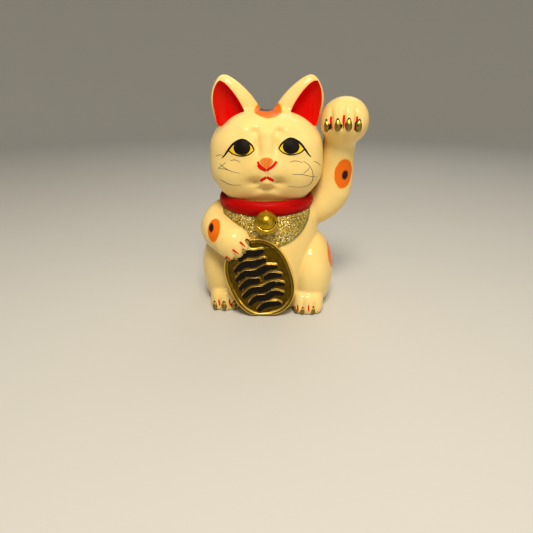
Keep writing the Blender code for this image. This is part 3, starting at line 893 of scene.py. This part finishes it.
def paint_paws(body, gold, dark, red):
    claws, rims, reds = [], [], []

    def claw(stations, sinks=(0.45, 0.9)):
        """A claw through (place, normal, radius) stations, in a dark outline that lies a little lower."""
        for meshes, grow, sink in ((claws, 0, sinks[0]), (rims, 0.55, sinks[1])):
            line = []
            for place, normal, radius in stations:
                line.append((*(place - normal * (sink * radius)), radius + grow))
            steps = [("add", limb(line, 9), 0), ("carve", halfspace(2, 0.2, -1), 0)]
            meshes.append(sculpt("claw", steps, 0.4))

    def upright(x, z, depth, size=1.0):
        claw([(*body.under((x, z + size * rise), depth), size * radius) for rise, radius in CLAW])

    for x, z in RAISED_CLAWS:
        upright(x, z, -36, 1.2)
    for x, z, foot in RAISED_STROKES:
        marks = ((x, z, 1.9), (x, z - 3.6, 2.3), ((x + foot) / 2, z - 7.4, 1.7), (foot, z - 11, 0.6))
        reds.append(stroke(body, marks, -36, 0.3))
    for x, z, turn in RESTING_CLAWS:
        place = body.tree.find_nearest(Vector((x, -58, z)))[0]
        turn = math.radians(turn)
        ahead = Vector((math.cos(turn), 0.2, math.sin(turn)))
        claw([(place + ahead * rise * 0.75, TOWARDS, radius * 0.75) for rise, radius in CLAW], (0, 0.45))
    for x1, z1, x2, z2 in RESTING_STROKES:
        marks = ((x1, z1, 1.5), (0.7 * x1 + 0.3 * x2, 0.7 * z1 + 0.3 * z2, 2.0), (x2, z2, 0.6))
        reds.append(stroke(body, marks, -60, 0.3))
    for shift, depth, low in ((0, -54, 1.4), (-77.6, -45, 0)):
        for x, z in FOOT_CLAWS:
            upright(x + shift, z - low, depth, 1.15)
        for x in FOOT_STROKES:
            top = 13.2 - low
            marks = ((x + shift, top, 0.6), (x + shift, top - 3.5, 1.9), (x + shift + 0.5, top - 8, 1.3))
            reds.append(stroke(body, marks, depth, 0.3))
    piece("claw_edges", joined(rims), dark)
    piece("claws", joined(claws), gold)
    piece("paw_strokes", joined(reds), red)


# --- Collar, bib, bell, koban and stopper -------------------------------------------------------------------

COLLAR_CENTRE = (0, -3, 105.3)
COLLAR_RING = (41.5, 44.5)
COLLAR_TUBE = (4.6, 6.6)
BIB_CENTRE_Z = 101
BIB_HALF = (42, 30)
BELL_CENTRE = (-0.3, -58.0, 96.0)
BELL_RADIUS = 10.3
BELL_FACING = 18
# The bell's smile-shaped slot and the lip round it: right and up from its front, in shares of its radius
BELL_SLOT = ((-0.68, -0.30), (-0.32, -0.57), (0.08, -0.64), (0.48, -0.51), (0.74, -0.23), (0.83, 0.02))
BELL_LIP = (
    (-0.96, 0.12), (-0.84, -0.44), (-0.46, -0.80), (0.06, -0.90),
    (0.57, -0.77), (0.87, -0.40), (0.96, 0.1),
)
KOBAN_CENTRE = (-6.1, -50.5, 40.4)
KOBAN_HALF = (40.4, 30.5)
KOBAN_TILT = 18.6
KOBAN_SQUARE = 2.4
KOBAN_FOOT_Z = 2.6


def torus(centre, ring, tube, grow=0.0):
    """A ring that is oval in plan and in section."""

    def distance(x, y, z):
        x, y, z = x - centre[0], y - centre[1], z - centre[2]
        angle = np.arctan2(y / ring[1], x / ring[0])
        away = np.hypot(x - ring[0] * np.cos(angle), y - ring[1] * np.sin(angle))
        level = np.hypot(away / tube[0], z / tube[1]) + TINY
        slope = np.hypot(away / tube[0] ** 2, z / tube[1] ** 2) / level + TINY
        return (level - 1) / slope - grow

    reach = Vector((ring[0] + tube[0], ring[1] + tube[0], tube[1])) + Vector((grow,) * 3)
    return Form(distance, Vector(centre) - reach, Vector(centre) + reach)


def oval_prism(centre_z, half_width, half_height):
    """Everything before and behind an upright oval."""

    def distance(x, y, z):
        a, b = x / half_width, (z - centre_z) / half_height
        level = np.hypot(a, b) + TINY
        return (level - 1) * level / (np.hypot(a / half_width, b / half_height) + TINY) + 0 * y

    return Form(distance, *EVERYWHERE)


def make_collar(finish):
    steps = [
        ("add", torus(COLLAR_CENTRE, COLLAR_RING, COLLAR_TUBE), 0),
        ("carve", blob(**TRUNK, grow=0.3), 0.5),
        ("carve", blob(**HEAD, grow=0.3), 0.8),
    ]
    piece("collar_enamel", sculpt("collar", steps, 0.7), finish, replaces=["collar"])


def make_bib(finish):
    steps = [
        ("add", blob(**TRUNK, grow=1.8), 0),
        ("keep", oval_prism(BIB_CENTRE_Z, *BIB_HALF), 1.0),
        ("carve", halfspace(1, -6, 1), 0),
        ("carve", halfspace(2, NECK_Z - 0.8, 1), 0),
        ("carve", blob(**TRUNK, grow=0.3), 0.3),
        ("carve", torus(COLLAR_CENTRE, COLLAR_RING, COLLAR_TUBE, grow=0.2), 0.3),
        ("carve", limb(RESTING_ARM, grow=0.4), 0.5),
        ("carve", blob(**RESTING_PAW, grow=0.4), 0.5),
    ]
    piece("bib_grit", sculpt("bib", steps, 0.5), finish, replaces=["bib"])


def make_bell(finish, dark):
    """A round bell with a lip, and a slot like a smile that ends in a round hole, lined with black as painted
    shade.
    """
    front = Matrix.Rotation(math.radians(-BELL_FACING), 3, "X")

    def on_bell(marks, radius, thickness):
        line = []
        for right, up in marks:
            toward = math.sqrt(max(1 - right * right - up * up, 0))
            line.append((*(Vector(BELL_CENTRE) + front @ Vector((right, -toward, up)) * radius), thickness))
        return line

    behind = [
        ("carve", blob(**TRUNK, grow=1.9), 0),
        ("carve", torus(COLLAR_CENTRE, COLLAR_RING, COLLAR_TUBE, grow=0.1), 0),
    ]
    hole = on_bell(BELL_SLOT[-1:], BELL_RADIUS, 0)[0][:3]
    ball = [
        ("add", blob(BELL_CENTRE, (BELL_RADIUS,) * 5), 0),
        ("add", limb(on_bell(BELL_LIP, BELL_RADIUS - 0.3, 1.0), 24), 0.8),
        ("add", limb(on_bell(((0, 0.93), (0, 0.99)), BELL_RADIUS - 0.4, 1.3), 1), 1.0),
        ("carve", limb(on_bell(BELL_SLOT, BELL_RADIUS, 0.8), 24), 0.3),
        ("carve", blob(hole, (1.5,) * 5), 0.3),
        *behind,
    ]
    # Painted shade: a black lining in the slot and its hole stands in for the shadow inside them
    slot_shade_lining = [
        ("add", limb(on_bell(BELL_SLOT, BELL_RADIUS - 0.5, 0.62), 24), 0),
        ("add", blob(hole, (1.6,) * 5), 0),
        ("keep", blob(BELL_CENTRE, (BELL_RADIUS - 0.35,) * 5), 0),
    ]
    piece("bell_ball", sculpt("bell", ball, 0.35), finish, replaces=["bell"])
    piece("bell_slot", sculpt("slot_shade_lining", slot_shade_lining, 0.25), dark)


def oval_slab(half_width, half_height, low, high):
    """A squarish oval plate between two levels."""

    def distance(x, y, z):
        a, b = np.abs(x) / half_width + TINY, np.abs(y) / half_height + TINY
        level = (a**KOBAN_SQUARE + b**KOBAN_SQUARE) ** (1 / KOBAN_SQUARE)
        power = KOBAN_SQUARE - 1
        slope = np.hypot(a**power / half_width, b**power / half_height) / level**power
        return np.maximum((level - 1) / slope, np.maximum(z - high, low - z))

    return Form(distance, Vector((-half_width, -half_height, low)), Vector((half_width, half_height, high)))


def brush_stroke(marks, low, high, slope, grow=0.0):
    """A raised stroke through marks of (x, y, radius), with sloping sides."""
    line = smooth_line(marks, 3 * len(marks))

    def distance(x, y, z):
        nearest = FAR
        for start, end in zip(line, line[1:]):
            run = end[:2] - start[:2]
            share = ((x - start[0]) * run[0] + (y - start[1]) * run[1]) / (run @ run)
            share = np.clip(share, 0, 1)
            away = np.hypot(x - start[0] - share * run[0], y - start[1] - share * run[1])
            nearest = np.minimum(nearest, away - start[2] - share * (end[2] - start[2]))
        side = (nearest - grow + slope * (z - low)) / math.hypot(1, slope)
        return -soft_min(-side, high - z, 0.5)

    points = np.array(line)
    reach = points[:, 2:] + max(grow, 0)
    corner = (points[:, :2] - reach).min(0), (points[:, :2] + reach).max(0)
    return Form(distance, Vector((*corner[0], low - 2)), Vector((*corner[1], high)))


WAVES = (
    ((-10, 25.4, 3.0), (-3, 29.0, 3.9), (5, 26.6, 3.9), (11, 27.0, 2.8)),
    ((-18, 15.8, 2.8), (-9, 19.4, 3.9), (0, 17.4, 4.2), (10, 17.8, 3.0)),
    ((-20, 6.6, 2.8), (-11, 10.2, 3.9), (-1, 7.8, 4.2), (9, 9.8, 3.9), (18, 8.2, 2.6)),
    ((-20, -2.6, 2.8), (-11, 1.2, 3.9), (-3, -0.2, 4.0)),
    ((6, 0.4, 3.2), (12, 1.0, 3.9), (19.5, -1.6, 2.6)),
    ((-20, -11.8, 2.8), (-10, -8.2, 3.9), (0, -10.2, 4.2), (10, -8.0, 3.9), (19, -11.0, 2.6)),
    ((-17, -21.0, 2.8), (-9, -17.4, 3.8), (-1, -19.2, 4.1), (8, -17.2, 3.8), (15.5, -20.6, 2.6)),
    ((-11, -29.8, 2.8), (-3, -26.8, 3.8), (6, -28.4, 3.6), (10, -30.2, 2.4)),
)
FACE_LEVEL = 6.0
RIM_LEVEL = 7.6
STROKE_LEVEL = 8.2


def on_koban():
    turn = Matrix.Rotation(math.radians(90), 4, "X") @ Matrix.Rotation(math.radians(KOBAN_TILT), 4, "Z")
    return Matrix.Translation(KOBAN_CENTRE) @ turn


def make_koban(finish, ink, body):
    """An oval plaque: a raised rim, and brushed waves in relief whose tops are inked."""
    tall, wide = KOBAN_HALF
    slope = 0.3
    tilt = math.radians(KOBAN_TILT)

    def below_foot(x, y, z):
        return KOBAN_CENTRE[2] + x * math.sin(tilt) + y * math.cos(tilt) - KOBAN_FOOT_Z + 0 * z

    steps = [
        ("add", oval_slab(wide - 1.6, tall - 1.6, 1.6, RIM_LEVEL - 1.6), 0),
        ("bump", bump((0, 0, 0), (1e4, 1e4, 1e4), 1.6), 0),
        ("carve", oval_slab(wide - 3.8, tall - 3.8, FACE_LEVEL, 12), 2.4),
    ]
    steps += [("add", brush_stroke(marks, FACE_LEVEL, STROKE_LEVEL, slope), 0.4) for marks in WAVES]
    steps.append(("carve", Form(below_foot, *EVERYWHERE), 0.6))
    plaque = sculpt("koban", steps, 0.4, place=on_koban())
    piece("koban_gold", cut_mesh(plaque, "DIFFERENCE", body), finish, replaces=["koban"])
    inset = -slope * (STROKE_LEVEL - FACE_LEVEL) + 0.1
    low, high = STROKE_LEVEL - 0.3, STROKE_LEVEL + 0.12
    layers = [("add", brush_stroke(marks, low, high, 0, inset), 0) for marks in WAVES]
    layers.append(("carve", halfspace(2, low, -1), 0))
    piece("koban_ink", sculpt("ink", layers, 0.4, place=on_koban()), ink)


# The stopper's half section, as (radius, height): a ribbed plug above a flange
STOPPER = (
    (0, 12), (14.6, 12), (15.4, 11.6), (16.3, 10.4), (16.7, 9.4), (16.7, 8.4), (16.3, 7.9), (16.3, 7.1),
    (16.7, 6.6), (16.7, 5.6), (16.3, 5.1), (16.3, 3.4), (16.7, 2.9), (19.9, 2.9), (20.3, 2.7), (20.5, 2.3),
    (20.5, 1.8), (20.2, 1.3), (19.6, 1.0), (18.4, 1.0), (18.1, 1.2), (17.5, 1.2), (17.2, 1.0), (0, 1.0),
)
GRIP_POCKET = ((2.5, -9.5, -5), (10.5, 9.5, 7))


def make_stopper(finish):
    """A moulded rubber plug with a flange, and a grip bar between two pockets in its underside."""
    plug = turned_mesh("plug", STOPPER, 96)
    pockets = []
    for side in (1, -1):
        corners = sorted((side * x, y, z) for x, y, z in GRIP_POCKET)
        pockets.append(block_mesh("pocket", *corners, edge=1.6))
    plug = cut_mesh(plug, "DIFFERENCE", *pockets)
    piece("rubber_stopper", plug, finish, "stopper", ["base_stopper"], 30)


# --- Scene ------------------------------------------------------------------------------------------------


def area_light(name, place, aim, size, energy, colour):
    light = bpy.data.lights.new(name, "AREA")
    light.size = size
    light.energy = energy
    light.color = colour
    obj = bpy.data.objects.new(name, light)
    bpy.context.scene.collection.objects.link(obj)
    obj.location = place
    obj.rotation_euler = (Vector(aim) - Vector(place)).to_track_quat("-Z", "Y").to_euler()


def make_stage():
    """A plain pale floor that rises all round like a bowl, soft lights and the camera."""
    turns = [math.pi * i / 32 for i in range(17)]
    curve = [(1.5 + 0.9 * math.sin(turn), 0.9 - 0.9 * math.cos(turn)) for turn in turns]
    bm = bmesh.new()
    points = [bm.verts.new((radius, 0, height)) for radius, height in ((0, 0), (0.5, 0), *curve, (2.4, 1.6))]
    for first, second in zip(points, points[1:]):
        bm.edges.new((first, second))
    bmesh.ops.spin(
        bm,
        geom=bm.verts[:] + bm.edges[:],
        axis=(0, 0, 1),
        cent=(0, 0, 0),
        angle=math.tau,
        steps=96,
        use_merge=True,
    )
    bmesh.ops.remove_doubles(bm, verts=bm.verts, dist=1e-5)
    bmesh.ops.recalc_face_normals(bm, faces=bm.faces)
    mesh = bpy.data.meshes.new("floor")
    bm.to_mesh(mesh)
    bm.free()
    mesh.shade_smooth()
    floor = bpy.data.objects.new("floor", mesh)
    bpy.context.scene.collection.objects.link(floor)
    material, _, _ = new_material("pale_floor", (0.60, 0.59, 0.56), 0.8)
    mesh.materials.append(material)

    area_light("key", (0.0, -0.62, 1.02), (0, 0, 0.1), 0.34, 12.3, (1.0, 0.91, 0.75))
    area_light("fill", (0.7, -0.8, 0.5), (0, 0, 0.1), 0.9, 1.8, (1.0, 0.94, 0.85))
    area_light("back", (0.3, 0.8, 1.0), (0, 0, 0.12), 0.6, 1.6, (0.95, 0.97, 1.0))
    world = bpy.data.worlds.new("studio")
    bpy.context.scene.world = world
    world.use_nodes = True
    world.node_tree.nodes["Background"].inputs["Color"].default_value = (1.0, 0.94, 0.84, 1)
    world.node_tree.nodes["Background"].inputs["Strength"].default_value = 0.31

    camera = bpy.data.objects.new("camera", bpy.data.cameras.new("camera"))
    bpy.context.scene.collection.objects.link(camera)
    bpy.context.scene.camera = camera
    camera.data.sensor_width = 36
    camera.data.lens = 27
    camera.location = ORIGIN + PAINTER * MM
    camera.rotation_euler = (math.radians(90 - CAMERA_DOWN), 0, 0)
    bpy.context.scene.view_settings.view_transform = "Standard"


def gold(name, colour, other, worn_and_highlight, roughness, metallic=1.0, grain=300.0, upward_highlight=0.0):
    """Gold paint: mottled, with painted shade in its hollows, rubbed bright on its edges, and a painted
    highlight on slopes that face up.
    """
    material, tree, shader = new_material(name, colour, roughness, metallic)
    position = add(tree, "NewGeometry").outputs["Position"]
    mottled = ramp(tree, noise(tree, position, grain, 4.0), ((0.3, other), (0.7, colour)))
    pointed = add(tree, "NewGeometry").outputs["Pointiness"]
    # Painted shade: the gold turns nearly black in its hollows
    hollow = fade(tree, pointed, none=0.49, full=0.42)
    mottled = mixed(tree, times(tree, hollow, 0.8), mottled, (0.03, 0.018, 0.004))
    rubbed_and_highlit = fade(tree, pointed, none=0.505, full=0.55)
    # Painted highlight: slopes that face up are mixed towards the bright colour, as if lit from above; the
    # rubbed edges are real wear
    if upward_highlight:
        level = add(tree, "SeparateXYZ", Vector=add(tree, "NewGeometry").outputs["Normal"]).outputs["Z"]
        facing_up_highlight = fade(tree, level, none=0.18, full=0.45)
        rubbed_and_highlit = arithmetic(tree, "MAXIMUM", rubbed_and_highlit, times(tree, facing_up_highlight, upward_highlight))
    tree.links.new(mixed(tree, rubbed_and_highlit, mottled, worn_and_highlight), shader.inputs["Base Color"])
    fine = noise(tree, position, grain * 4, 3.0)
    rough = greys(tree, fine, (0.3, roughness * 1.3), (0.7, roughness * 0.8))
    tree.links.new(rough, shader.inputs["Roughness"])
    bumped(tree, shader, fine, 0.3, 0.0001)
    return material


def glitter(name):
    """Fine glass grit glued down: gold, brown, olive and pale grains, each with a shine of its own."""
    material, tree, shader = new_material(name, (0.42, 0.30, 0.08), 0.3, 0.5)
    position = add(tree, "NewGeometry").outputs["Position"]
    grains = add(tree, "TexVoronoi", {"feature": "F1"}, Vector=position, Scale=1500.0)
    tone = add(tree, "SeparateColor", Color=grains.outputs["Color"])
    palette = (
        (0.0, (0.09, 0.05, 0.008)),
        (0.14, (0.34, 0.20, 0.02)),
        (0.36, (0.55, 0.36, 0.05)),
        (0.60, (0.25, 0.25, 0.03)),
        (0.74, (0.66, 0.50, 0.12)),
        (0.92, (0.95, 0.86, 0.55)),
    )
    colour = ramp(tree, tone.outputs[0], palette, "CONSTANT")
    edge = ellipse(tree, position, (0, 0, BIB_CENTRE_Z), (BIB_HALF[0], 1e4, BIB_HALF[1]))
    edge = fade(tree, edge, none=0.92, full=0.985)
    colour = mixed(tree, times(tree, edge, 0.6), colour, (0.10, 0.16, 0.02))
    tree.links.new(colour, shader.inputs["Base Color"])
    rough = greys(tree, tone.outputs[1], (0.1, 0.16), (0.9, 0.55))
    tree.links.new(rough, shader.inputs["Roughness"])
    tree.links.new(arithmetic(tree, "GREATER_THAN", tone.outputs[2], 0.45), shader.inputs["Metallic"])
    bumped(tree, shader, arithmetic(tree, "SUBTRACT", 1.0, grains.outputs["Distance"]), 0.9, 0.0004)
    return material


def rubber(name):
    material, tree, shader = new_material(name, (0.016, 0.015, 0.014), 0.6)
    position = add(tree, "NewGeometry").outputs["Position"]
    mottle = noise(tree, position, 90.0, 4.0)
    dust = ramp(tree, mottle, ((0.4, (0.014, 0.013, 0.012)), (0.75, (0.06, 0.055, 0.05))))
    tree.links.new(dust, shader.inputs["Base Color"])
    fine = noise(tree, position, 1500.0, 2.0)
    tree.links.new(greys(tree, fine, (0.3, 0.5), (0.7, 0.75)), shader.inputs["Roughness"])
    bumped(tree, shader, fine, 0.3, 0.0001)
    return material


# Airbrushed spots: the skin, the mark and plane of its middle, its radii, and the same for its smoky heart
SPOTS = (
    ("body", (71.5, 131.5), -22, (9.4, 14, 14.6), (72.6, 130.5), (4.0, 10, 5.8)),
    ("body", (-49.8, 82.7), -36, (6.9, 14, 12.4), (-52.0, 84.0), (3.2, 10, 4.9)),
)
PATCHES = (
    (((65.5, -15, 50.5), (14, 23, 15)), ((70.0, -5, 49.0), (8, 6, 7))),
    (((1.5, -13, 186.0), (13.5, 24, 14)), ((-0.5, -6, 186.5), (8.5, 15, 9))),
)


def spots(skins):
    """The ellipsoids of orange and of smoke that the glaze is sprayed with."""
    found = list(PATCHES)
    for skin, mark, depth, radii, heart, heart_radii in SPOTS:
        orange = (skins[skin].under(mark, depth)[0], radii)
        found.append((orange, (skins[skin].under(heart, depth)[0], heart_radii)))
    return found


black = enamel("black_enamel", (0.007, 0.005, 0.004), (0.02, 0.015, 0.01), roughness=0.4)
yellow = enamel("yellow_enamel", (0.90, 0.60, 0.02), (0.80, 0.45, 0.01))
peach = enamel("nose_enamel", (0.80, 0.24, 0.04), (0.66, 0.16, 0.02), (900, 900, 900))
red = enamel("red_brush", (0.74, 0.004, 0.002), (0.58, 0.012, 0.003), (300, 300, 60), 0.24)
ear_red = enamel("ear_brush", (0.74, 0.001, 0.001), (0.58, 0.012, 0.002), (260, 40, 18), 0.26, 0.12)
collar_red = enamel("collar_brush", (0.50, 0.002, 0.001), (0.28, 0.001, 0.001), (50, 50, 420), 0.4, 0.5)
whisker = enamel("whisker_brush", (0.10, 0.075, 0.045), (0.18, 0.13, 0.08), (900, 900, 900))
# The claws and the koban carry a painted highlight on their slopes that face up
claw_gold = gold(
    "claw_gold",
    (0.24, 0.15, 0.02),
    (0.12, 0.07, 0.01),
    (0.80, 0.55, 0.10),
    0.32,
    0.8,
    grain=800.0,
    upward_highlight=0.8,
)
bell_gold = gold("bell_gold", (0.50, 0.31, 0.008), (0.36, 0.21, 0.006), (0.90, 0.64, 0.05), 0.25, 0.8)
old_gold = gold(
    "koban_old_gold",
    (0.125, 0.074, 0.002),
    (0.08, 0.046, 0.001),
    (1.0, 0.68, 0.12),
    0.36,
    0.92,
    grain=200.0,
    upward_highlight=1.0,
)
ink = enamel("ink", (0.006, 0.005, 0.004), (0.012, 0.009, 0.007), (200, 200, 200), 0.7)

body_skin = sculpt("body_skin", body_recipe(), 1.0)
head_skin = sculpt("head_skin", head_recipe(), 0.9)
body_surface, head_surface = Surface(body_skin), Surface(head_skin)
white = glaze("white_glaze_skin", spots({"body": body_surface, "head": head_surface}))
make_castings(white, body_skin, head_skin)
paint_face(head_surface, black, yellow, peach, red, whisker)
paint_ears(ear_red)
paint_paws(body_surface, claw_gold, black, red)
make_collar(collar_red)
make_bib(glitter("gold_grit_grains"))
make_bell(bell_gold, black)
make_koban(old_gold, ink, body_skin)
make_stopper(rubber("moulded_rubber"))
make_stage()
